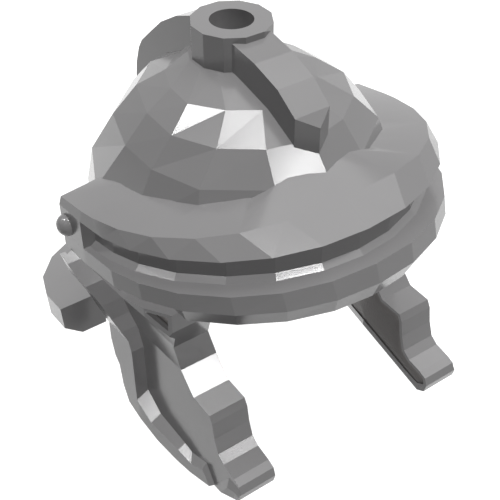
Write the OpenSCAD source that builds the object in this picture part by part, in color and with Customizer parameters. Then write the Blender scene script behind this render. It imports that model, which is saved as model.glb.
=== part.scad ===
// Legionary helmet of steel plate: a faceted bowl with a crest socket and two crest bars, a peaked brow
// guard over a rolled rim band, a neck guard, and two hinged cheek guards.
// Front is -Y, the wearer's left is +X, and Z = 0 is the level of the cheek guards' lowest edge.

/* [Bowl] */
// Width of the bowl at its widest dome ring
bowl_w = 224; // [214:1:232]
// Length of the bowl at its widest dome ring
bowl_l = 236; // [228:1:244]
// Distance of the bowl's centre in front of the crest axis
bowl_ahead = 14.5; // [10:0.5:18]
// Level of the dome's foot above the cheek guards' lowest edge
bowl_z = 182.5; // [180:0.5:186]
// Height of the dome above its foot, without the flat crown
dome_h = 114; // [108:1:120]
// Thickness of the bowl's plate
plate_t = 2.5; // [2:0.5:3]
// Radius of the flat crown that carries the crest socket
crown_r = 32; // [31.5:0.5:34]

/* [Crest] */
// Width of the twelve-sided crest socket over its corners
socket_w = 60; // [56:1:62]
// Height of the crest socket over the crown
socket_h = 26; // [24:1:34]
// Diameter of the plume bore
bore_d = 32; // [24:1:38]
// Depth of the plume bore
bore_depth = 21; // [14:1:22]
// Diameter of the stud that holds the socket through the crown
stud_d = 18; // [12:1:24]
// Width of a crest bar beside the socket
bar_w = 34; // [28:1:38]
// Width of the front crest bar at its tip
bar_tip_w = 29; // [22:1:32]
// Reach of the front crest bar ahead of the crest axis
front_bar_reach = 103; // [96:1:110]
// Reach of the rear crest bar behind the crest axis
rear_bar_reach = 119; // [114:1:124]

/* [Rim and brow] */
// Half width of the rim band
rim_half_w = 141; // [139:0.5:143]
// Reach of the rim band ahead of the crest axis
rim_reach = 173.6; // [170:0.1:180]
// Level of the rim band's lower edge beside the crest axis
rim_z = 175.5; // [173.5:0.5:177.5]
// Rise of the rim toward the front, per millimetre
rim_rise = 0.15; // [0.12:0.01:0.17]
// Height of the rim band
rim_h = 14; // [12:0.5:16]
// Depth of the tapered skirt under the rim band
skirt_h = 15; // [12:0.5:18]
// How far the skirt draws in under the rim band
skirt_in = 6; // [3:0.5:8]
// Height of the groove between the rim band and the brow guard
groove_h = 24.5; // [20:0.5:26]
// Depth of the groove behind the rim band
groove_d = 10; // [7:0.5:12]
// Height of the bead along the foot of the groove wall
bead_h = 3.5; // [2:0.5:5]
// Thickness of the rim band and brow guard
band_t = 3; // [2:0.5:3.5]
// Place of the groove's rear end along Y
groove_end_y = -17; // [-24:1:-14]
// Place of the brow guard's rear end along Y
brow_end_y = 16; // [14:1:20]

/* [Temple rivets] */
// Diameter of a temple rivet's domed head
temple_head_d = 17; // [12:0.5:20]
// Height of a temple rivet's domed head
temple_head_h = 8; // [5:0.5:9]
// Diameter of a temple rivet's shank
temple_shank_d = 6; // [4:0.5:8]
// Place of the temple rivets along Y
temple_rivet_y = 7; // [5:0.5:8]

/* [Neck guard] */
// Half width of the neck guard
neck_half_w = 146; // [142:1:150]
// Reach of the neck guard behind the crest axis
neck_reach = 173.6; // [165:0.1:185]
// Level of the neck guard's upper face at the crest axis
neck_z = 102.5; // [99:0.5:106]
// Fall of the neck guard toward the rear, per millimetre
neck_fall = 0.28; // [0.22:0.01:0.32]
// Depth of the neck guard's turned-down edge
neck_edge_h = 22; // [18:1:26]
// Depth of the curl under the neck guard's edge
neck_curl_h = 13; // [6:1:15]

/* [Cheek guards] */
// Thickness of a cheek guard's plate
cheek_t = 3.6; // [3:0.2:4]
// Depth of a cheek guard from its outer face to its turned-in edge
cheek_depth = 31.2; // [29:0.2:33]
// Height of the raised edging over the cheek plate at its foot
edging_h = 11; // [9:0.5:12]
// Opening angle of the cheek guards at their stop
cheek_open = 35; // [20:1:36]

/* [Cheek hinges] */
// Distance of a hinge pin from the middle of the helmet
hinge_x = 131; // [130.5:0.5:131.5]
// Drop of the hinge pin under the rim band's lower edge
hinge_drop = 5; // [4.8:0.1:5.2]
// Place of the hinge's middle along Y
hinge_y = -30; // [-32:1:-28]
// Length of the hinge
hinge_l = 44; // [36:1:46]
// Diameter of the hinge knuckles
knuckle_d = 7; // [6.6:0.1:7.2]
// Diameter of the hinge pin
pin_d = 4; // [3:0.1:4.2]
// Thickness of the hinge leaves
leaf_t = 2; // [1.6:0.1:2.2]
// Diameter of the hinge rivets
hinge_rivet_d = 3.6; // [3:0.1:4]

/* [Lining] */
// Thickness of the quilted liner cap
liner_t = 10; // [8:0.5:11]
// Height of the leather headband
headband_h = 30; // [24:1:34]
// Thickness of the leather headband
headband_t = 2.2; // [1.6:0.2:2.6]

/* [Hidden] */
steel = "#8c8b8d";
dark_steel = "#6f6e70";
leather = "#5b5553";

// Clearances
seat_gap = 0.1;
soft_gap = 0.4;
pin_gap = 0.05;
rivet_gap = 0.05;
knuckle_gap = 0.3;

rim_tilt = atan(rim_rise);
crown_z = bowl_z + dome_h;
shell_y = -bowl_ahead;
dome_facets = 14;

// The dome's rings, as [share of the dome's height, share of the bowl's size, shift to the rear]
dome_rings = [[0.917, 0.483, 0], [0.798, 0.7, 0], [0.614, 0.855, 0.5], [0.28, 1.02, 3], [0, 1.06, 7.5]];
wall_ring = dome_rings[4];
wall_share = wall_ring[1];

// Outlines of the brow and rim as [half width, reach ahead of their centre, centre along Y, squareness]
rim_line = [rim_half_w, rim_reach - 30, -30, 2.08];
lip_line = [rim_half_w, rim_reach - 33.6, -28, 2.12];
skirt_line = [rim_half_w - skirt_in, rim_reach - 30 - skirt_in, -30, 2];
wall_line = [rim_half_w - groove_d, rim_reach - 31.6 - groove_d, -18, 2];
brow_low_line = [rim_half_w, rim_reach - 36, -20, 2.15];
brow_top_line = [rim_half_w - 2, rim_reach - 34.6, 7, 2.7];
inner_line = [96, 95, -5, 2];
collar_line = [bowl_w / 2 * wall_share + 1, bowl_l / 2 * wall_share + band_t, shell_y + wall_ring[2], 2];

// Levels over the rim band's lower edge
ledge_z = rim_z + rim_h;
brow_low_z = ledge_z + groove_h;

// Stations round the front, as [side, angle from the front] or [side, undef, place along Y]
front_angles = [13, 27, 41, 56, 69, 80];
front_span = concat(
    [for (i = [5:-1:0]) [-1, front_angles[i]]], [[1, 0]], [for (i = [0:5]) [1, front_angles[i]]]);
function stations(last_y) = concat([[-1, undef, last_y]], front_span, [[1, undef, last_y]]);
function long_stations(last_y) = concat([[-1, undef, last_y], [-1, undef, groove_end_y]], front_span,
    [[1, undef, groove_end_y], [1, undef, last_y]]);

function grown(line, d) = [line[0] + d, line[1] + d, line[2], line[3]];
function edge_x(line, y) = y >= line[2] ? line[0]
    : line[0] * pow(1 - pow((line[2] - y) / line[1], line[3]), 1 / line[3]);
function on_line(line, s) = is_undef(s[1]) ? [s[0] * edge_x(line, s[2]), s[2]]
    : [s[0] * line[0] * pow(sin(s[1]), 2 / line[3]), line[2] - line[1] * pow(cos(s[1]), 2 / line[3])];
function at_level(line, s, level, rise) = let (p = on_line(line, s)) [p[0], p[1], level - rise * p[1]];

// Skin over a row of closed loops with the same number of points, closed at both ends
module skin(loops, by_side = false) {
    n = len(loops);
    m = len(loops[0]);
    sides = [for (k = [0:n - 2], i = [0:m - 1])
        let (j = (i + 1) % m, a = k * m + i, b = k * m + j, c = (k + 1) * m + j, d = (k + 1) * m + i)
        each ((by_side ? i < m / 2 : k < (n - 1) / 2) ? [[a, d, b], [b, d, c]] : [[a, c, b], [a, d, c]])];
    polyhedron(points = [for (l = loops) each l],
        faces = concat([[for (i = [0:m - 1]) i]], sides, [[for (i = [m - 1:-1:0]) (n - 1) * m + i]]));
}

// Prism along X from an outline in Y and Z, and along the rim's slope from an outline in X and Z
module side_prism(x0, x1) {
    translate([x0, 0, 0]) rotate([90, 0, 90]) linear_extrude(x1 - x0) children();
}
module rim_prism() {
    translate([0, 0, rim_z]) rotate([90 - rim_tilt, 0, 0]) linear_extrude(420, center = true) children();
}
module on_side(side) {
    if (side > 0) children();
    else mirror([1, 0, 0]) children();
}

// The faceted bowl as a solid, grown outward by a distance, with its own crown level and foot level
function ring(rx, ry, y, z) = [for (j = [0:dome_facets - 1])
    let (a = 360 / dome_facets * j) [rx * sin(a), y - ry * cos(a), z]];
// Hand-planished corners of the three upper rings on one side, as [share of the bowl's size, angle]
planished = [
    [[0.465, 0], [0.452, 22], [0.462, 49.5], [0.512, 77], [0.493, 101], [0.5, 127], [0.485, 154], [0.483, 180]],
    [[0.692, 0], [0.684, 25.3], [0.694, 49.2], [0.696, 74], [0.668, 98.5], [0.688, 128], [0.7, 154],
        [0.7, 180]],
    [[0.85, 0], [0.838, 23.5], [0.868, 53.5], [0.845, 77], [0.832, 98], [0.85, 124], [0.855, 154],
        [0.86, 180]]];
function planished_ring(i, rx, ry, z) = [for (j = [0:13])
    let (side = j > 7 ? -1 : 1, c = planished[i][j > 7 ? 14 - j : j])
    [side * rx * c[0] * sin(c[1]), shell_y - ry * c[0] * cos(c[1]), z]];
module bowl_form(grow, crown, foot) {
    rx = bowl_w / 2 + grow;
    ry = bowl_l / 2 + grow;
    skin(by_side = true, loops = concat(
        [ring(rx * wall_share, ry * wall_share, shell_y + wall_ring[2], foot)],
        [for (i = [4:-1:3]) let (r = dome_rings[i])
            ring(rx * r[1], ry * r[1], shell_y + r[2], bowl_z + (dome_h + grow) * r[0])],
        [for (i = [2:-1:0]) planished_ring(i, rx, ry, bowl_z + (dome_h + grow) * dome_rings[i][0])],
        [ring(crown_r + grow, crown_r + grow, 0, crown)]));
}
// A place on the bowl's wall, in the middle of one facet: facet 0 is left of the front
function facet_angle(facet, i) = 360 / dome_facets * (facet + i);
function wall_at(z) = let (r = dome_rings[3], k = max(0, z - bowl_z) / (r[0] * dome_h))
    [wall_share + (r[1] - wall_share) * k, shell_y + wall_ring[2] + (r[2] - wall_ring[2]) * k];
function wall_y(facet, z) = wall_at(z)[1] - bowl_l / 2 * wall_at(z)[0]
    * (cos(facet_angle(facet, 0)) + cos(facet_angle(facet, 1))) / 2;
module on_wall(facet, z) {
    x = bowl_w / 2 * wall_at(z)[0] * (sin(facet_angle(facet, 0)) + sin(facet_angle(facet, 1))) / 2;
    dx = bowl_w * (sin(facet_angle(facet, 1)) - sin(facet_angle(facet, 0)));
    dy = bowl_l * (cos(facet_angle(facet, 0)) - cos(facet_angle(facet, 1)));
    translate([x, wall_y(facet, z), z]) rotate([0, 90, atan2(-dx, dy)]) children();
}

// Bowl
stud_hole_d = stud_d + 2 * seat_gap;
module bowl_side() {
    neck_foot = neck_z - neck_edge_h + 2;
    polygon([[-160, crown_z + 20], [-160, rim_z + 2 + rim_rise * 160], [26, rim_z + 2 - rim_rise * 26],
        [34, rim_z - 31], [38, neck_z + 4], [40, neck_foot - neck_fall * 40],
        [140, neck_foot - neck_fall * 140], [140, crown_z + 20]]);
}
module bowl() {
    color(steel) difference() {
        intersection() {
            bowl_form(0, crown_z, 40);
            side_prism(-160, 160) bowl_side();
        }
        bowl_form(-plate_t, crown_z - plate_t, 30);
        cylinder(d = stud_hole_d, h = crown_z + 20, $fn = 48);
        for (f = rim_rivet_facets) on_wall(f, rim_rivet_z(f)) wall_rivet(rivet_gap);
        for (f = neck_rivet_facets) on_wall(f, neck_rivet_z(f)) wall_rivet(rivet_gap);
    }
}

// Crest socket, its washer and the two crest bars
washer_t = 3;
washer_d = 44;
peen_t = 2.5;
module crest_socket() {
    color(steel) difference() {
        union() {
            translate([0, 0, crown_z]) rotate([0, 0, 15]) cylinder(d = socket_w, h = socket_h, $fn = 12);
            translate([0, 0, crown_z - plate_t - washer_t]) cylinder(d = stud_d, h = 10, $fn = 48);
            translate([0, 0, crown_z - plate_t - washer_t - peen_t])
                cylinder(d = stud_d + 8, h = peen_t, $fn = 48);
        }
        translate([0, 0, crown_z + socket_h - bore_depth]) cylinder(d = bore_d, h = bore_depth + 5, $fn = 64);
    }
}
module crest_washer() {
    color(dark_steel) translate([0, 0, crown_z - plate_t - washer_t]) difference() {
        cylinder(d = washer_d, h = washer_t, $fn = 64);
        translate([0, 0, -1]) cylinder(d = stud_hole_d, h = washer_t + 2, $fn = 48);
    }
}
module bar_trim() {
    bowl_form(seat_gap, crown_z + seat_gap, 40);
    translate([0, 0, crown_z - 20]) rotate([0, 0, 15])
        cylinder(d = socket_w + 2 * seat_gap, h = socket_h + 40, $fn = 12);
}
module front_crest_bar() {
    top = crown_z + socket_h;
    color(steel) difference() {
        intersection() {
            side_prism(-30, 30) polygon([[0, top - 3], [-25, top - 4], [-50, top - 8], [-75, top - 16],
                [9 - front_bar_reach, top - 29], [-front_bar_reach, top - 36.5],
                [-front_bar_reach, bowl_z + 60], [0, bowl_z + 60]]);
            linear_extrude(crown_z + 60) polygon([[-bar_w / 2, 0], [-bar_tip_w / 2, 9 - front_bar_reach],
                [0, -front_bar_reach], [bar_tip_w / 2, 9 - front_bar_reach], [bar_w / 2, 0]]);
        }
        bar_trim();
    }
}
module rear_crest_bar() {
    top = crown_z + socket_h;
    color(steel) difference() {
        side_prism(-bar_w / 2, bar_w / 2) polygon([[0, top - 3], [28, top - 4], [48, top - 12],
            [71, top - 26], [rear_bar_reach - 33, top - 39], [rear_bar_reach - 15, top - 55],
            [rear_bar_reach - 9, top - 64], [rear_bar_reach - 3, top - 80], [rear_bar_reach, top - 98],
            [rear_bar_reach - 1, top - 103], [0, top - 103]]);
        bar_trim();
    }
}

// Brow guard: a peak over the rim, hollow behind, with the groove cut under it
module brow_guard() {
    foot = ledge_z + seat_gap;
    color(steel) difference() {
        skin([for (s = long_stations(brow_end_y)) [
            at_level(inner_line, s, brow_low_z + 14, 0.33),
            at_level(brow_top_line, s, brow_low_z + 7, 0.2),
            at_level(brow_low_line, s, brow_low_z, rim_rise),
            at_level(lip_line, s, foot, rim_rise),
            at_level(inner_line, s, foot, rim_rise)]]);
        skin([for (s = stations(groove_end_y)) [
            at_level(wall_line, s, brow_low_z, rim_rise),
            at_level(grown(wall_line, 50), s, brow_low_z, rim_rise),
            at_level(grown(wall_line, 50), s, foot - 20, rim_rise),
            at_level(wall_line, s, foot - 20, rim_rise)]]);
        skin([for (s = long_stations(brow_end_y - band_t)) [
            at_level(inner_line, s, brow_low_z + 10, 0.33),
            at_level(grown(brow_top_line, -11), s, brow_low_z + 2, 0.2),
            at_level(grown(wall_line, -band_t), s, brow_low_z - 1, rim_rise),
            at_level(grown(wall_line, -band_t), s, foot - 9, rim_rise),
            at_level(inner_line, s, foot - 9, rim_rise)]]);
        bowl_form(seat_gap, crown_z, 40);
        for (side = [-1, 1]) on_side(side) temple_shank(rivet_gap);
    }
}

// Temple rivets: a domed head outside, a shank through the brow guard's end and a small inner head
temple_wall = groove_d + band_t;
temple_rivet_z = ledge_z - rim_rise * temple_rivet_y + 10;
module temple_shank(gap) {
    translate([rim_half_w - temple_wall - 1, temple_rivet_y, temple_rivet_z]) rotate([0, 90, 0])
        cylinder(d = temple_shank_d + 2 * gap, h = temple_wall + 2, $fn = 40);
}
module temple_rivet(side) {
    ball_r = (pow(temple_head_d / 2, 2) + pow(temple_head_h, 2)) / (2 * temple_head_h);
    profile = concat([[0, -temple_wall - 2], [temple_shank_d, -temple_wall - 2],
        [temple_shank_d, -temple_wall], [temple_shank_d / 2, -temple_wall], [temple_shank_d / 2, 0]],
        [for (i = [0:8]) let (z = temple_head_h * i / 8)
            [sqrt(max(0, pow(ball_r, 2) - pow(z + ball_r - temple_head_h, 2))), z]]);
    color(steel) on_side(side) translate([rim_half_w, temple_rivet_y, temple_rivet_z])
        rotate([0, 90, 0]) rotate_extrude($fn = 48) polygon(profile);
}

// Rim band: a ledge riveted to the bowl's wall, the outer band and the tapered skirt in front
rim_rivet_facets = [0, 13, 1, 12];
function rim_rivet_z(f) = rim_z + 6 - rim_rise * wall_y(f, bowl_z);
module rim_band() {
    ledge_foot = ledge_z - band_t;
    collar_foot = rim_z + 1;
    skirt_end = -107;
    color(steel) difference() {
        union() {
            skin([for (s = long_stations(brow_end_y + 3)) [
                at_level(inner_line, s, ledge_z, rim_rise),
                at_level(lip_line, s, ledge_z, rim_rise),
                at_level(rim_line, s, rim_z, rim_rise),
                at_level(skirt_line, s, rim_z - skirt_h, rim_rise),
                at_level(grown(skirt_line, -band_t), s, rim_z - skirt_h, rim_rise),
                at_level(grown(rim_line, -band_t), s, rim_z, rim_rise),
                at_level(grown(lip_line, -band_t), s, ledge_foot, rim_rise),
                at_level(collar_line, s, ledge_foot, rim_rise),
                at_level(collar_line, s, collar_foot, rim_rise),
                at_level(inner_line, s, collar_foot, rim_rise)]]);
            skin([for (s = stations(groove_end_y - 0.5)) [
                at_level(grown(wall_line, seat_gap), s, ledge_z - 1, rim_rise),
                at_level(grown(wall_line, seat_gap), s, ledge_z + bead_h, rim_rise),
                at_level(grown(wall_line, groove_d / 2), s, ledge_z, rim_rise),
                at_level(grown(wall_line, groove_d / 2), s, ledge_z - 1, rim_rise)]]);
        }
        bowl_form(seat_gap, crown_z, 40);
        side_prism(-160, 160) polygon([[skirt_end, rim_z - 40], [60, rim_z - 40], [60, rim_z + 60],
            [brow_end_y, rim_z + 60], [brow_end_y, rim_z + 0.2 - rim_rise * brow_end_y],
            [skirt_end, rim_z + 0.2 - rim_rise * skirt_end]]);
        for (f = rim_rivet_facets) on_wall(f, rim_rivet_z(f)) wall_rivet(rivet_gap);
        for (side = [-1, 1]) on_side(side) bracket_rivet_shanks(rivet_gap);
    }
}

// Wall rivets: a shank through a flange and the bowl's wall, with a flat head at each end
wall_rivet_d = 4;
wall_rivet_head_d = 9;
wall_rivet_head_t = 1.6;
module wall_rivet(gap) {
    translate([0, 0, -plate_t - 1]) cylinder(d = wall_rivet_d + 2 * gap, h = plate_t + 12, $fn = 32);
}
module wall_rivets(facets, levels, grip) {
    for (i = [0:len(facets) - 1]) on_wall(facets[i], levels[i]) {
        translate([0, 0, -plate_t - 0.8]) cylinder(d = wall_rivet_d, h = plate_t + grip + 1.2, $fn = 32);
        translate([0, 0, -plate_t - 0.6 - wall_rivet_head_t])
            cylinder(d = wall_rivet_head_d, h = wall_rivet_head_t, $fn = 32);
        translate([0, 0, grip + 0.2]) cylinder(d = wall_rivet_head_d, h = wall_rivet_head_t, $fn = 32);
    }
}
module rim_rivets() {
    color(dark_steel) wall_rivets(rim_rivet_facets, [for (f = rim_rivet_facets) rim_rivet_z(f)],
        band_t + 4.6);
}

// Neck guard: a turned-down plate round the nape with a collar riveted to the bowl's wall
neck_line = [neck_half_w, neck_reach - 46, 46, 2.2];
neck_inner_line = [88, 50, 44, 2];
neck_start_y = 39;
neck_rivet_facets = [5, 6, 7, 8];
function neck_rivet_z(f) = neck_z - 12 - neck_fall * wall_y(f, 0);
function rear_x(line, y) = y <= line[2] ? line[0]
    : line[0] * pow(1 - pow((y - line[2]) / line[1], line[3]), 1 / line[3]);
function rear_on(line, s) = is_undef(s[1]) ? [s[0] * rear_x(line, s[2]), s[2]]
    : [s[0] * line[0] * pow(sin(s[1]), 2 / line[3]), line[2] + line[1] * pow(cos(s[1]), 2 / line[3])];
function rear_at(line, s, level) = let (p = rear_on(line, s)) [p[0], p[1], level - neck_fall * p[1]];
neck_angles = [15, 31, 48, 65, 80];
function neck_stations(y) = concat([[1, undef, y]], [for (i = [4:-1:0]) [1, neck_angles[i]]], [[1, 0]],
    [for (i = [0:4]) [-1, neck_angles[i]]], [[-1, undef, y]]);
module neck_guard() {
    color(steel) difference() {
        skin([for (s = neck_stations(neck_start_y)) [
            rear_at(neck_inner_line, s, neck_z), rear_at(neck_line, s, neck_z),
            rear_at(grown(neck_line, -1), s, neck_z - neck_edge_h),
            rear_at(grown(neck_line, -16), s, neck_z - neck_edge_h - neck_curl_h),
            rear_at(neck_inner_line, s, neck_z - neck_edge_h - neck_curl_h)]]);
        difference() {
            skin([for (s = neck_stations(neck_start_y + band_t)) [
                rear_at(grown(neck_inner_line, 3), s, neck_z - band_t),
                rear_at(grown(neck_line, -band_t - 1), s, neck_z - band_t),
                rear_at(grown(neck_line, -band_t - 2), s, neck_z - neck_edge_h),
                rear_at(grown(neck_line, -band_t - 22), s, neck_z - neck_edge_h - neck_curl_h * 4 / 3),
                rear_at(grown(neck_inner_line, 3), s, neck_z - neck_edge_h - neck_curl_h * 4 / 3)]]);
            bowl_form(band_t + 1, crown_z, 10);
        }
        bowl_form(seat_gap, crown_z, 20);
        for (f = neck_rivet_facets) on_wall(f, neck_rivet_z(f)) wall_rivet(rivet_gap);
    }
}
module neck_guard_rivets() {
    color(dark_steel) wall_rivets(neck_rivet_facets, [for (f = neck_rivet_facets) neck_rivet_z(f)],
        band_t + 4.4);
}

// Lining: a quilted cap under the dome and a leather headband inside it
liner_crown = crown_z - plate_t - washer_t - peen_t - 0.8;
module lining_side(z0, z1) {
    polygon([[-160, z0 + rim_rise * 160], [160, z0 - rim_rise * 160], [160, z1 - rim_rise * 160],
        [-160, z1 + rim_rise * 160]]);
}
module liner_cap() {
    color(leather) intersection() {
        difference() {
            bowl_form(-plate_t - soft_gap - wall_rivet_head_t - 0.6, liner_crown, 40);
            bowl_form(-plate_t - liner_t - wall_rivet_head_t - 0.6, liner_crown - liner_t, 30);
        }
        side_prism(-160, 160) lining_side(rim_z + 2, crown_z);
    }
}
module headband() {
    start = plate_t + liner_t + wall_rivet_head_t + 0.9;
    color(leather) intersection() {
        difference() {
            bowl_form(-start, liner_crown - liner_t - 2, 40);
            bowl_form(-start - headband_t, liner_crown - liner_t - 4, 30);
        }
        side_prism(-160, 160) lining_side(rim_z + 4, rim_z + 4 + headband_h);
    }
}

// Hinges: the pin lies along the rim's slope, under the rim band
module at_hinge() {
    translate([hinge_x, hinge_y, rim_z - hinge_drop - rim_rise * hinge_y]) rotate([-rim_tilt, 0, 0])
        children();
}
knuckles = 5;
pitch = hinge_l / knuckles;
module knuckle(i) {
    translate([0, -hinge_l / 2 + i * pitch + knuckle_gap / 2, 0]) rotate([-90, 0, 0])
        cylinder(d = knuckle_d, h = pitch - knuckle_gap, $fn = 40);
}
module knuckle_web(i, x0, x1, z0, z1) {
    translate([x0, -hinge_l / 2 + i * pitch + knuckle_gap / 2, z0])
        cube([x1 - x0, pitch - knuckle_gap, z1 - z0]);
}
module pin_hole() {
    rotate([90, 0, 0]) cylinder(d = pin_d + 2 * pin_gap, h = hinge_l + 4, center = true, $fn = 40);
}
ledge_drop = (hinge_drop + rim_h - band_t) * cos(rim_tilt) - seat_gap;
bracket_reach = 10.5;
module bracket_rivet_shanks(gap) {
    at_hinge() for (y = [-14, 14]) translate([-bracket_reach / 2 - 1, y, ledge_drop - leaf_t - 1])
        cylinder(d = hinge_rivet_d + 2 * gap, h = leaf_t + band_t + 2, $fn = 32);
}
module hinge_bracket(side) {
    color(dark_steel) on_side(side) difference() {
        at_hinge() difference() {
            union() {
                for (i = [0, 2, 4]) {
                    knuckle(i);
                    knuckle_web(i, -leaf_t / 2, leaf_t / 2, 0, knuckle_d / 2 + 1.5);
                }
                translate([-leaf_t / 2, -hinge_l / 2, knuckle_d / 2 + 1])
                    cube([leaf_t, hinge_l, ledge_drop - knuckle_d / 2 - 1]);
                translate([-bracket_reach, -hinge_l / 2, ledge_drop - leaf_t])
                    cube([bracket_reach + leaf_t / 2, hinge_l, leaf_t]);
            }
            pin_hole();
        }
        bracket_rivet_shanks(rivet_gap);
    }
}
module bracket_rivets(side) {
    color(dark_steel) on_side(side) at_hinge() for (y = [-14, 14])
        translate([-bracket_reach / 2 - 1, y, 0]) {
            translate([0, 0, ledge_drop - leaf_t - 1])
                cylinder(d = hinge_rivet_d, h = leaf_t + band_t * cos(rim_tilt) + 1, $fn = 32);
            translate([0, 0, ledge_drop - leaf_t - 1.4]) cylinder(d = 7, h = 1.3, $fn = 32);
        }
}
module hinge_pin(side) {
    color(steel) on_side(side) at_hinge() {
        rotate([90, 0, 0]) cylinder(d = pin_d, h = hinge_l + 1.6, center = true, $fn = 40);
        for (end = [-1, 1]) translate([0, end * (hinge_l / 2 + 1.2), 0]) rotate([90, 0, 0])
            cylinder(d = knuckle_d - 0.6, h = 1.4, center = true, $fn = 40);
    }
}

// Cheek guards: a tray of plate that flares out to the rim, with a raised edging and a pad inside.
// The sections are given across the rim, as distance from the middle and height over the rim's edge.
plate_line = [[136.5, -8], [126, -24], [115.5, -38], [112.5, -52], [107.8, -80], [107.8, -230]];
edging_out = [[141, -8.5], [143, -6], [148, 0], [144, -14], [140.5, -27], [133, -45], [126.7, -63.7],
    [107.8 + edging_h, -86], [107.8 + edging_h, -230]];
function moved(line, d) = [for (p = line) [p[0] + d, p[1]]];
function back(line) = [for (i = [len(line) - 1:-1:0]) line[i]];
function below(line, z) = [for (p = line) if (p[1] <= z) p];
// Outlines seen from the side, as place along Y and height over the rim band's lower edge
function hung(line) = [for (p = line) [p[0], rim_z + p[1]]];
cheek_front = hung([[-104, 39], [-103, -9], [-86, -43], [-87.5, -68], [-103.5, -83.5], [-124.5, -84],
    [-128, -90], [-130.5, -104], [-135, -117], [-142, -122], [-155.5, -124.5]]);
cheek_tip = hung([[-162, -127], [-164.5, -134], [-162.5, -142]]);
cheek_foot = hung([[-149, -150], [-137.5, -156.5], [-125.7, -163], [-101, -171.3], [-82, -174.5],
    [-56, -175.5], [-37, -171.5],
    [-13, -166], [-6, -151], [-3, -129], [3, -122], [7, -106], [7, -71]]);
plate_rear = hung([[6, -51], [8, 39]]);
edging_rear = hung([[9, -51], [15, -35], [26, -21], [34, -3], [36, 39]]);
edging_step = hung([[24, 39], [22, -5], [12, -17], [-4, -31], [-12, -49], [-16, -63], [-22, -74],
    [-30, -95], [-29, -117], [-151, -107]]);
// The ledge of the edging along the jaw slopes outward: its edges as [place along Y, inner level, outer level]
jaw_ledge = [[-29, -139.2, -152.3], [-48, -151, -163.8], [-86, -150.2, -163],
    [-118, -135.7, -165.5], [-149, -91.5, -213.5], [-190, -91.5, -213.5]];
cheek_inner_x = 107.8 - cheek_depth;
cheek_flange_t = 3;
module cheek_outline() {
    polygon(concat(cheek_front, cheek_tip, cheek_foot, plate_rear));
}
module cheek_plan() {
    linear_extrude(300) polygon([[cheek_inner_x, -200], [cheek_inner_x, -84], [104.2, -30], [104.2, 60],
        [180, 60], [180, -200]]);
}
module hinge_room() {
    at_hinge() {
        rotate([90, 0, 0]) cylinder(d = knuckle_d + 1.6, h = hinge_l + 4, center = true, $fn = 40);
        translate([-12, -hinge_l / 2 - 2, -9]) cube([12, hinge_l + 4, 9]);
    }
}
module leaf_rivet_shanks(d) {
    for (y = [-13, 13], z = [-14, -24]) at_hinge() translate([-40, y, z]) rotate([0, 90, 0])
        cylinder(d = d, h = 60, $fn = 32);
}
module cheek_plate(side) {
    inner = [[106, -8], [97, -24], [86, -38], [83, -52], [cheek_inner_x, -80], [cheek_inner_x, -230]];
    color(steel) on_side(side) difference() {
        intersection() {
            side_prism(60, 170) cheek_outline();
            rim_prism() polygon(concat(plate_line, back(inner)));
            cheek_plan();
            rim_room();
        }
        difference() {
            intersection() {
                side_prism(50, 160) offset(delta = -cheek_flange_t) cheek_outline();
                rim_prism() polygon(concat(moved(cheek_cavity_line, -cheek_t), [[50, -230], [50, -11]]));
            }
            jaw_cut(cheek_flange_t);
        }
        jaw_cut(0);
        hinge_room();
        leaf_rivet_shanks(hinge_rivet_d + 2 * rivet_gap);
    }
}
cheek_cavity_line = concat([[134.5, -11]], below(plate_line, -20));
// The cheek plate's flare stays inside the rim above the jaw
module rim_room() {
    plan = concat([[0, 60]], [for (s = back(long_stations(60))) if (s[0] > 0)
        let (p = on_line(grown(rim_line, -1), s)) [p[0], min(p[1], 60)]], [[0, -172]]);
    linear_extrude(300) polygon(plan);
    translate([0, -200, 0]) cube([200, 300, rim_z - 47]);
}
// The slope that draws the jaw's lower inner edge up and inward, kept on its upper side
jaw_slope = [0.845, -0.134, 0.518];
module jaw_cut(grow) {
    translate([cheek_inner_x, -78.5, rim_z - 126.5]) rotate([0, acos(jaw_slope[2]),
        atan2(jaw_slope[1], jaw_slope[0])]) translate([-300, -300, -600 + grow]) cube(600);
}
module cheek_edging(side) {
    lip_x = 107.8 + edging_h - 9.5;
    color(steel) on_side(side) difference() {
        intersection() {
            side_prism(90, 170) polygon(concat(edging_step, cheek_tip, cheek_foot, edging_rear));
            rim_prism() polygon(concat(edging_out, back(moved(plate_line, seat_gap))));
        }
        skin([for (k = [2, 1]) [for (p = concat(jaw_ledge, [[-190, -20, -20], [-29, -20, -20]]))
            [k == 1 ? 100 : 125, p[0], rim_z + p[k]]]]);
        linear_extrude(rim_z - 90) polygon([[107.8 + edging_h + 0.1, -30], [lip_x, -158], [lip_x, -200],
            [160, -200], [160, -30]]);
        jaw_cut(0);
    }
}
module cheek_pad(side) {
    lower = moved(below(plate_line, -39), -cheek_t - soft_gap);
    upper = [[125.5, -14], [118, -25.5], [lower[0][0] - 3, -39]];
    color(leather) on_side(side) difference() {
        intersection() {
            side_prism(50, 160) offset(delta = -cheek_flange_t - soft_gap) cheek_outline();
            rim_prism() polygon(concat(upper, lower, [[cheek_inner_x, -230], [cheek_inner_x, -80], [83, -52],
                [86, -38], [97, -24], [104, -14]]));
            linear_extrude(300) polygon([[cheek_inner_x, -200], [cheek_inner_x, -84], [98.5, -42],
                [180, -42], [180, -200]]);
        }
        jaw_cut(cheek_flange_t + soft_gap);
    }
}
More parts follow.
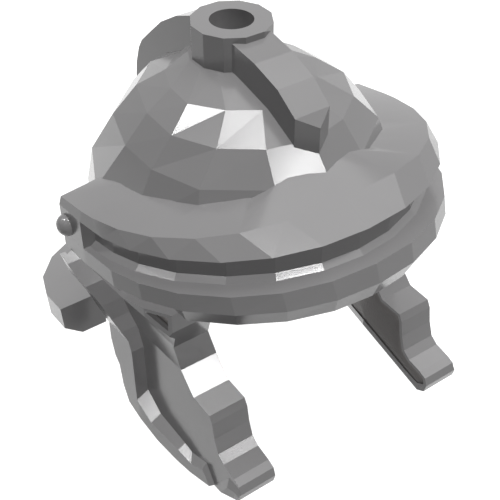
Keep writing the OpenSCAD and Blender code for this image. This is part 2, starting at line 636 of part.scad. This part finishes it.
module cheek_leaf(side) {
    outer = [[hinge_x, -hinge_drop], [129.9, -12], [126 - cheek_t - seat_gap, -24],
        [117.8 - cheek_t - seat_gap, -35]];
    color(dark_steel) on_side(side) difference() {
        union() {
            at_hinge() for (i = [1, 3]) knuckle(i);
            intersection() {
                rim_prism() polygon(concat(outer, back(moved(outer, -leaf_t * 1.2))));
                at_hinge() union() {
                    for (i = [1, 3]) knuckle_web(i, -30, 10, -9, 1);
                    translate([-30, -17, -40]) cube([40, 34, 40 - 8]);
                }
            }
        }
        at_hinge() pin_hole();
        leaf_rivet_shanks(hinge_rivet_d + 2 * rivet_gap);
    }
}
module leaf_rivets(side) {
    color(steel) on_side(side) intersection() {
        leaf_rivet_shanks(hinge_rivet_d);
        rim_prism() polygon(concat([[126 + 9.6, -9.35], [126, -24], [115.5, -38]],
            [[115.5 - cheek_t - leaf_t * 1.2 - seat_gap - 0.8, -38],
            [126 - cheek_t - leaf_t * 1.2 - seat_gap - 0.8, -24],
            [135.6 - cheek_t - leaf_t * 1.2 - seat_gap - 0.8, -9.35]]));
    }
}

bowl();
crest_socket();
crest_washer();
front_crest_bar();
rear_crest_bar();
brow_guard();
rim_band();
rim_rivets();
temple_rivet(-1);  // right_temple_rivet
temple_rivet(1);  // left_temple_rivet
neck_guard();
neck_guard_rivets();
liner_cap();
headband();
hinge_bracket(-1);  // right_hinge_bracket
hinge_bracket(1);  // left_hinge_bracket
bracket_rivets(-1);  // right_bracket_rivets
bracket_rivets(1);  // left_bracket_rivets
cheek_plate(-1);  // right_cheek_plate
cheek_plate(1);  // left_cheek_plate
cheek_edging(-1);  // right_cheek_edging
cheek_edging(1);  // left_cheek_edging
cheek_pad(-1);  // right_cheek_pad
cheek_pad(1);  // left_cheek_pad
cheek_leaf(-1);  // right_cheek_leaf
cheek_leaf(1);  // left_cheek_leaf
leaf_rivets(-1);  // right_leaf_rivets
leaf_rivets(1);  // left_leaf_rivets
hinge_pin(-1);  // right_hinge_pin
hinge_pin(1);  // left_hinge_pin
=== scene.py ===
# %% [markdown]
# # A legionary helmet of faceted steel
#
# The CAD model holds every plate, rivet and hinge of the helmet. This lesson dresses it: steel with
# faint working marks, the stuffed liner and cheek pads that the CAD model only stands in for,
# lamps, and a camera at the photograph's viewing angle.
#
# The helmet's front is -Y and the wearer's left is +X. All lengths are in metres.

# %% Load the CAD model as the fixed frame
import math
import bpy
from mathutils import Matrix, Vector


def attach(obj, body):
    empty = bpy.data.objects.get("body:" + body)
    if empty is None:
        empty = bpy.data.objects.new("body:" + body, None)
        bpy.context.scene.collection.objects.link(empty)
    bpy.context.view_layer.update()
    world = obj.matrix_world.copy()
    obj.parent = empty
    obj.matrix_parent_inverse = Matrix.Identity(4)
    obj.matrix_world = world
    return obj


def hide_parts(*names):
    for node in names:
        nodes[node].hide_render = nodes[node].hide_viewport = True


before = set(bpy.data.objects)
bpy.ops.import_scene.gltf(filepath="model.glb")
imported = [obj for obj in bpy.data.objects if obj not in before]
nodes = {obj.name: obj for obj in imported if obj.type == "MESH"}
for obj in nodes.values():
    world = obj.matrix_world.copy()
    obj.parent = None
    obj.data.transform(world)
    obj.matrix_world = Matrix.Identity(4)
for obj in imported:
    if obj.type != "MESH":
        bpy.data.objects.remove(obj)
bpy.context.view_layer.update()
print(len(nodes), "CAD nodes loaded")

# %% [markdown]
# ## Shader helpers
#
# A small wrapper lets shader sockets be added and multiplied like numbers, so that each material
# reads as one formula. One function adds every other kind of node. Wiring the nodes one by one
# would do the same, but a formula is easier to follow. Every pattern uses object coordinates,
# which stay the same from every camera.

# %% A socket wrapper with operators
class Value:
    def __init__(self, tree, socket):
        self.tree = tree
        self.socket = socket

    def math(self, operation, other):
        sockets = {0: self, 1: other}
        node = add_node(self.tree, "ShaderNodeMath", {"operation": operation}, sockets)
        return Value(self.tree, node.outputs[0])

    def __add__(self, other):
        return self.math("ADD", other)

    def __sub__(self, other):
        return self.math("SUBTRACT", other)

    def __rsub__(self, other):
        return self * -1 + other

    def __mul__(self, other):
        return self.math("MULTIPLY", other)

    __radd__ = __add__
    __rmul__ = __mul__


def feed(tree, node, sockets):
    for name, value in sockets.items():
        if isinstance(value, Value):
            tree.links.new(value.socket, node.inputs[name])
        else:
            node.inputs[name].default_value = value


def add_node(tree, kind, settings=None, sockets=None):
    node = tree.nodes.new(kind)
    for name, value in (settings or {}).items():
        setattr(node, name, value)
    feed(tree, node, sockets or {})
    return node


print("socket wrapper ready")

# %% Patterns and new materials
NOISE_DETAIL = 3.0


def new_material(name, roughness, metallic):
    material = bpy.data.materials.new(name)
    material.use_nodes = True
    tree = material.node_tree
    shader = tree.nodes["Principled BSDF"]
    feed(tree, shader, {"Roughness": roughness, "Metallic": metallic})
    return material, tree, shader


def pattern(tree, kind, sockets, stretch=(1, 1, 1), turn=(0, 0, 0)):
    coords = add_node(tree, "ShaderNodeTexCoord")
    place = Value(tree, coords.outputs["Object"])
    mapping = add_node(tree, "ShaderNodeMapping", sockets={
        "Vector": place, "Scale": stretch, "Rotation": turn})
    place = Value(tree, mapping.outputs["Vector"])
    texture = add_node(tree, kind, sockets={"Vector": place, **sockets})
    return Value(tree, texture.outputs[0])


def noise(tree, scale, stretch=(1, 1, 1)):
    sockets = {"Scale": scale, "Detail": NOISE_DETAIL}
    return pattern(tree, "ShaderNodeTexNoise", sockets, stretch)


def colour_between(tree, factor, low, high):
    mix = add_node(tree, "ShaderNodeMix", {"data_type": "RGBA"}, {
        "Factor": factor, "A": (*low, 1), "B": (*high, 1)})
    return Value(tree, mix.outputs["Result"])


print("pattern helpers ready")

# %% [markdown]
# ## Steel
#
# The plates are satin grey. A slow cloud of noise changes the colour and the roughness by a few
# hundredths, as hand-planished plate does. An image could carry these marks too, but it would
# stretch over the facets. The steel is dark with a clear shine and almost no metallic share: a
# fully metallic one would mirror the pale backdrop everywhere, and the photograph's dark facets
# would turn pale.

# %% Steel for plates and darker steel for fittings
STEEL_IOR = 1.4
CLOUD_SCALE = 22
GRAIN_SCALE = 160
GRAIN_STRETCH = (1, 1, 4)
SHADE_SPREAD = 0.03
CLOUD_ROUGHNESS = 0.03
GRAIN_ROUGHNESS = 0.02
FITTINGS = ("washer", "bracket", "leaf", "pin", "rim_rivets", "neck_guard_rivets")


def steel(name, shade, roughness, metallic):
    material, tree, shader = new_material(name, roughness, metallic)
    cloud = noise(tree, CLOUD_SCALE)
    grain = noise(tree, GRAIN_SCALE, GRAIN_STRETCH)
    low = tuple(c * (1 - SHADE_SPREAD) for c in shade)
    high = tuple(c * (1 + SHADE_SPREAD) for c in shade)
    uneven = (cloud - 0.5) * CLOUD_ROUGHNESS + (grain - 0.5) * GRAIN_ROUGHNESS
    feed(tree, shader, {
        "IOR": STEEL_IOR,
        "Base Color": colour_between(tree, cloud, low, high),
        "Roughness": uneven + roughness})
    return material


plate_steel = steel("plate_steel", (0.212, 0.209, 0.211), 0.17, 0.02)
fitting_steel = steel("fitting_steel", (0.20, 0.197, 0.20), 0.26, 0.08)
for name, node in nodes.items():
    node.data.materials.clear()
    dark = any(word in name for word in FITTINGS)
    node.data.materials.append(fitting_steel if dark else plate_steel)
print("steel on", len(nodes), "nodes")

# %% [markdown]
# ## The brow guard's top plate
#
# On the real helmet the brow guard is hammered down against the bowl, lowest beside the temples,
# and its top runs smoothly while its face stays faceted. The plate could be drawn anew, but a copy
# of the CAD plate keeps its fit to the bowl and rim: its inner edge is lowered along the bowl by a
# few millimetres, and only its top is shaded smooth.

# %% Copying a CAD node with its loose triangles merged
MERGE_DISTANCE = 0.00002


def merged_copy(node_name, piece_name):
    piece = nodes[node_name].copy()
    piece.data = nodes[node_name].data.copy()
    for key in list(piece.keys()):
        del piece[key]
    piece.name = piece_name
    bpy.context.collection.objects.link(piece)
    bpy.ops.object.select_all(action="DESELECT")
    piece.select_set(True)
    bpy.context.view_layer.objects.active = piece
    bpy.ops.object.mode_set(mode="EDIT")
    bpy.ops.mesh.select_all(action="SELECT")
    bpy.ops.mesh.remove_doubles(threshold=MERGE_DISTANCE)
    bpy.ops.object.mode_set(mode="OBJECT")
    return piece


print("merged_copy ready")

# %% Brow guard
# Each row of SEATING is an angle from the front in degrees, and how far the inner edge sits lower
# there, in pixels of the photograph.
SEATING = [
    (0, 0), (16, 0), (23, 1.8), (31, 9.0), (42, 8.2), (52, 6.8),
    (61, 6.5), (74, 3.9), (85, 2.2), (96, 0), (180, 0)]
PIXELS_PER_METRE = 1140
BOWL_CENTRE_Y = -0.0145
INNER_EDGE_RADIUS = 0.1075
INNER_EDGE_HEIGHT = 0.215
OUTWARD_SHARE = 0.35
SMOOTH_RADIUS = 0.108
FACING_UP = 0.8


def seating_drop(angle):
    for (a, low), (b, high) in zip(SEATING, SEATING[1:]):
        if a <= angle <= b:
            return (low + (high - low) * (angle - a) / (b - a)) / PIXELS_PER_METRE
    return 0


def from_bowl_centre(co):
    return math.hypot(co.x, co.y - BOWL_CENTRE_Y)


brow = merged_copy("brow_guard", "brow_plate")
points = brow.data.vertices
for v in points:
    out = from_bowl_centre(v.co)
    if out < INNER_EDGE_RADIUS and v.co.z > INNER_EDGE_HEIGHT:
        x, y = v.co.x, v.co.y - BOWL_CENTRE_Y
        drop = seating_drop(abs(math.degrees(math.atan2(x, -y))))
        v.co.z -= drop
        v.co.x += x / out * drop * OUTWARD_SHARE
        v.co.y += y / out * drop * OUTWARD_SHARE
for face in brow.data.polygons:
    nearest = min(from_bowl_centre(points[i].co) for i in face.vertices)
    face.use_smooth = face.normal.z > FACING_UP and nearest < SMOOTH_RADIUS
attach(brow, "root")
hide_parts("brow_guard")
print("brow plate with", len(brow.data.polygons), "faces")

# %% [markdown]
# ## The cheek guards' edging
#
# The thick edging round each cheek plate ends in a square cut behind the hinge. The end could be
# pulled in point by point, but a cut is what a smith makes: a copy is bisected there and the cut is
# filled, which takes off the thin point that the CAD solid runs out to.

# %% Edging ends
EDGING_END_Y = 0.0182

for side_name in ("right", "left"):
    edging = merged_copy(side_name + "_cheek_edging", side_name + "_edging")
    bpy.ops.object.mode_set(mode="EDIT")
    bpy.ops.mesh.select_all(action="SELECT")
    bpy.ops.mesh.bisect(
        plane_co=(0, EDGING_END_Y, 0.16), plane_no=(0, 1, 0), use_fill=True, clear_outer=True)
    bpy.ops.object.mode_set(mode="OBJECT")
    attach(edging, side_name + "_cheek")
    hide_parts(side_name + "_cheek_edging")
    print(edging.name, len(edging.data.polygons), "faces")

# %% [markdown]
# ## Leather and quilted cloth
#
# The headband and the cheek pads are leather, and the cap inside the bowl is quilted linen. Leather
# gets a pebbled bump from a Voronoi pattern, and linen the two crossing threads of a plain weave,
# both near their real scale. Modelled pebbles and threads would need millions of faces. The bump
# is shallow, so that the shape of the stuffing still reads.

# %% Leather and linen materials
LEATHER_ROUGHNESS = 0.62
LINEN_ROUGHNESS = 0.88
BUMP_STRENGTH = 0.6
PEBBLE_SCALE = 620
PEBBLE_DEPTH = 0.0004
THREAD_SCALE = 330
THREAD_DEPTH = 0.0003
EIGHTH_TURN = 0.785


def raise_surface(tree, shader, height, depth):
    bump = add_node(tree, "ShaderNodeBump", sockets={
        "Strength": BUMP_STRENGTH, "Distance": depth, "Height": height})
    feed(tree, shader, {"Normal": Value(tree, bump.outputs["Normal"])})


def leather(name, low, high):
    material, tree, shader = new_material(name, LEATHER_ROUGHNESS, 0.0)
    pebble = pattern(tree, "ShaderNodeTexVoronoi", {"Scale": PEBBLE_SCALE})
    worn = noise(tree, 38)
    feed(tree, shader, {
        "Base Color": colour_between(tree, worn, low, high),
        "Roughness": (worn - 0.5) * 0.18 + LEATHER_ROUGHNESS})
    raise_surface(tree, shader, pebble * 0.7 + worn * 0.3, PEBBLE_DEPTH)
    return material


def threads(tree, turn):
    return pattern(tree, "ShaderNodeTexWave", {"Scale": THREAD_SCALE}, turn=turn)


def linen(name, low, high):
    material, tree, shader = new_material(name, LINEN_ROUGHNESS, 0.0)
    across = threads(tree, (0, 0, EIGHTH_TURN))
    along = threads(tree, (0, EIGHTH_TURN, -EIGHTH_TURN))
    weave = across * along
    slub = noise(tree, 55, (1, 1, 6))
    shade = colour_between(tree, slub * 0.6 + weave * 0.4, low, high)
    feed(tree, shader, {"Base Color": shade})
    raise_surface(tree, shader, weave, THREAD_DEPTH)
    return material


pad_leather = leather("pad_leather", (0.11, 0.103, 0.1), (0.165, 0.157, 0.153))
band_leather = leather("band_leather", (0.07, 0.058, 0.05), (0.12, 0.1, 0.09))
quilted_linen = linen("quilted_linen", (0.13, 0.125, 0.12), (0.21, 0.205, 0.195))
nodes["headband"].data.materials.clear()
nodes["headband"].data.materials.append(band_leather)
print("leather and linen ready")

# %% [markdown]
# ## Stuffed pieces
#
# A pad is a leather or cloth bag that its stuffing pushes outward. A smooth sculpted lump could
# stand for it, but cloth under pressure swells between its seams the way a real one does. Each
# piece starts as a copy of the solid that keeps its place in the CAD model, is remeshed into even
# squares, and is then blown up with a little pressure while its seams or its back are pinned. A
# limit on how far a point may move keeps it inside its place.

# %% Copying, remeshing and stuffing a pad
LAST_FRAME = 20


def pad_blank(node_name, piece_name, voxel):
    blank = merged_copy(node_name, piece_name)
    remesh = blank.modifiers.new("even squares", "REMESH")
    remesh.mode = "VOXEL"
    remesh.voxel_size = voxel
    bpy.ops.object.modifier_apply(modifier="even squares")
    return blank


def stuff(pad, held, cap, pressure):
    starts = [v.co.copy() for v in pad.data.vertices]
    group = pad.vertex_groups.new(name="held")
    for i, co in enumerate(starts):
        if held(co, pad.data.vertices[i].normal):
            group.add([i], 1.0, "REPLACE")
    cloth = pad.modifiers.new("stuffing", "CLOTH")
    cloth.settings.use_pressure = True
    cloth.settings.uniform_pressure_force = pressure
    cloth.settings.effector_weights.gravity = 0
    cloth.settings.vertex_group_mass = "held"
    for number in range(1, LAST_FRAME + 1):
        bpy.context.scene.frame_set(number)
    bpy.ops.object.modifier_apply(modifier="stuffing")
    bpy.context.scene.frame_set(1)
    most = 0
    for v, start in zip(pad.data.vertices, starts):
        move = v.co - start
        most = max(most, move.length)
        if move.length > cap:
            v.co = start + move * (cap / move.length)
    smooth = pad.modifiers.new("rounder", "SUBSURF")
    smooth.levels = smooth.render_levels = 1
    bpy.ops.object.modifier_apply(modifier="rounder")
    bpy.ops.object.shade_smooth()
    pad.data.materials.clear()
    print(pad.name, len(pad.data.vertices), "points")
    print("furthest move before the limit:", round(most * 1000, 1), "mm")
    return pad


print("stuffing helpers ready")

# %% [markdown]
# ## The quilted cap in the bowl
#
# Fourteen gores meet at the crown, one under each row of the bowl's planished facets, and level
# rows of stitching cross them. The outer wall lies against the bowl and is held, as are the
# stitched lines, so only the squares between them puff inward. Grooves cut along the lines would
# look stiff beside that.

# %% Quilted cap
CAP_CENTRE_Y = -0.0135
GORES = 14
FIRST_ROW = 0.184
ROW_HEIGHT = 0.026
STITCH_WIDTH = 0.0022
CROWN_RADIUS = 0.008


def cap_held(co, normal):
    x, y = co.x, co.y - CAP_CENTRE_Y
    out = math.hypot(x, y)
    outward = (normal.x * x + normal.y * y) / max(out, 0.001) + normal.z * 0.8
    gore = math.degrees(math.atan2(x, -y)) / (360 / GORES)
    from_gore = abs(gore - round(gore)) * 2 * math.pi * out / GORES
    row = (co.z - FIRST_ROW) / ROW_HEIGHT
    from_row = abs(row - round(row)) * ROW_HEIGHT
    stitched = min(from_gore, from_row) < STITCH_WIDTH or out < CROWN_RADIUS
    return outward > -0.1 or stitched


cap = stuff(pad_blank("liner_cap", "quilted_cap", 0.0036), cap_held, 0.0035, 5)
cap.data.materials.append(quilted_linen)
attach(cap, "root")
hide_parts("liner_cap")

# %% [markdown]
# ## The cheek pads
#
# Each cheek plate carries a leather pad on its inner face. Its back is glued to the plate and is
# held, and the face toward the wearer's cheek swells. One function makes both pads, since they
# differ only in the side that they face.

# %% Cheek pads
def stuffed_cheek_pad(side_name, sign):
    def pad_held(co, normal):
        return normal.x * sign > -0.35

    blank = pad_blank(side_name + "_cheek_pad", side_name + "_stuffed_pad", 0.004)
    pad = stuff(blank, pad_held, 0.004, 4)
    pad.data.materials.append(pad_leather)
    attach(pad, side_name + "_cheek")
    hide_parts(side_name + "_cheek_pad")


stuffed_cheek_pad("right", -1)
stuffed_cheek_pad("left", 1)

# %% [markdown]
# ## The world
#
# The photograph's background is white, but a white world would light every side alike and flatten
# the facets. So only the camera, mirrors and glass see it white, and it gives almost no light.

# %% World
AMBIENT = 0.02


def seen_directly(tree):
    path = add_node(tree, "ShaderNodeLightPath")
    seen = Value(tree, path.outputs["Is Camera Ray"])
    for ray in ("Is Glossy Ray", "Is Transmission Ray"):
        seen = seen.math("MAXIMUM", Value(tree, path.outputs[ray]))
    return seen


world = bpy.data.worlds.new("studio")
bpy.context.scene.world = world
world.use_nodes = True
strength = seen_directly(world.node_tree) * (1 - AMBIENT) + AMBIENT
feed(world.node_tree, world.node_tree.nodes["Background"], {
    "Color": (1, 1, 1, 1), "Strength": strength})
print("world ready")

# %% [markdown]
# ## The lamps
#
# One wide lamp overhead gives a soft shadow. Each narrow lamp stands where a facet that is white
# in the photograph mirrors it toward the camera, and is named for that place. These cast no shadow,
# because the photograph has none. One large bright window could make such glints as well, but it
# would also light the facets that stay dark.

# %% Lamps
# A lamp's row is its name, the direction toward it, its strength, its width in degrees, and
# whether it casts a shadow.
LAMPS = [
    ("overhead", (0.3, 0.0, 0.95), 1.3, 50, True),
    ("front_low", (0.34, -0.73, 0.59), 0.5, 5, False),
    ("front_high", (0.16, -0.74, 0.66), 0.35, 5, False),
    ("crown", (-0.30, 0.19, 0.93), 1.0, 10, False),
    ("top", (0.04, 0.03, 1.0), 0.35, 8, False),
    ("ledge_front", (-0.51, -0.37, 0.78), 0.2, 5, False),
    ("ledge_back", (-0.5, 0.42, 0.76), 0.2, 5, False),
    ("lip", (0.08, -0.27, 0.96), 0.35, 5, False),
    ("step_front", (0.35, -0.58, 0.74), 0.15, 5, False),
    ("step_back", (0.36, 0.51, 0.78), 0.2, 5, False)]

for name, toward, energy, width, shadow in LAMPS:
    lamp = bpy.data.lights.new(name, "SUN")
    lamp.energy = energy
    lamp.angle = math.radians(width)
    lamp.use_shadow = shadow
    stand = bpy.data.objects.new(name, lamp)
    stand.rotation_euler = Vector(toward).to_track_quat("Z", "Y").to_euler()
    bpy.context.collection.objects.link(stand)
print(len(LAMPS), "lamps ready")

# %% [markdown]
# ## The floor
#
# A pale plane under the helmet takes its shadow. The camera and mirrors see it bright, and for
# light that bounces it is dark, so that it doesn't brighten the helmet's lower faces. A dark floor
# would do that as well, but the photograph's ground is white. From below it is clear, so that the
# inside of the helmet can be looked at.

# %% Floor
FLOOR_ROUGHNESS = 0.9
BOUNCE_SHADE = 0.1
SEEN_SHADE = 0.8
SEEN_GLOW = 0.4

bpy.ops.object.select_all(action="DESELECT")
bpy.ops.mesh.primitive_plane_add(size=8, location=(0, 0, -0.0004))
floor = bpy.context.object
floor.name = "floor"
floor_material, floor_tree, dull = new_material("pale_floor", FLOOR_ROUGHNESS, 0.0)
feed(floor_tree, dull, {"Base Color": (BOUNCE_SHADE,) * 3 + (1,)})
bright = add_node(floor_tree, "ShaderNodeBsdfPrincipled", sockets={
    "Base Color": (SEEN_SHADE,) * 3 + (1,), "Roughness": FLOOR_ROUGHNESS,
    "Emission Color": (1, 1, 1, 1), "Emission Strength": SEEN_GLOW})
upper_side = add_node(floor_tree, "ShaderNodeMixShader", sockets={
    "Fac": seen_directly(floor_tree),
    1: Value(floor_tree, dull.outputs["BSDF"]),
    2: Value(floor_tree, bright.outputs["BSDF"])})
side = add_node(floor_tree, "ShaderNodeNewGeometry")
clear = add_node(floor_tree, "ShaderNodeBsdfTransparent")
one_sided = add_node(floor_tree, "ShaderNodeMixShader", sockets={
    "Fac": Value(floor_tree, side.outputs["Backfacing"]),
    1: Value(floor_tree, upper_side.outputs["Shader"]),
    2: Value(floor_tree, clear.outputs["BSDF"])})
feed(floor_tree, floor_tree.nodes["Material Output"], {
    "Surface": Value(floor_tree, one_sided.outputs["Shader"])})
floor.data.materials.append(floor_material)
print("floor ready")

# %% [markdown]
# ## The camera
#
# The camera stands above the helmet's right front corner, where the photograph was taken from. Its
# place was worked out from the helmet's two mirrored sides: it could also be set by eye, but then
# no measured outline would fit.

# %% Camera
HALF_PICTURE = 250
FOCAL_PIXELS = 933
CAMERA_PLACE = (-0.3371, -0.5021, 0.6178)
CAMERA_BACK = (-0.4408, -0.6272, 0.6421)

scene = bpy.context.scene
scene.view_settings.view_transform = "Standard"
camera_data = bpy.data.cameras.new("camera")
camera_data.angle = 2 * math.atan(HALF_PICTURE / FOCAL_PIXELS)
camera_data.clip_start = 0.01
camera = bpy.data.objects.new("camera", camera_data)
camera.location = CAMERA_PLACE
camera.rotation_euler = Vector(CAMERA_BACK).to_track_quat("Z", "Y").to_euler()
bpy.context.collection.objects.link(camera)
scene.camera = camera
print("camera ready")
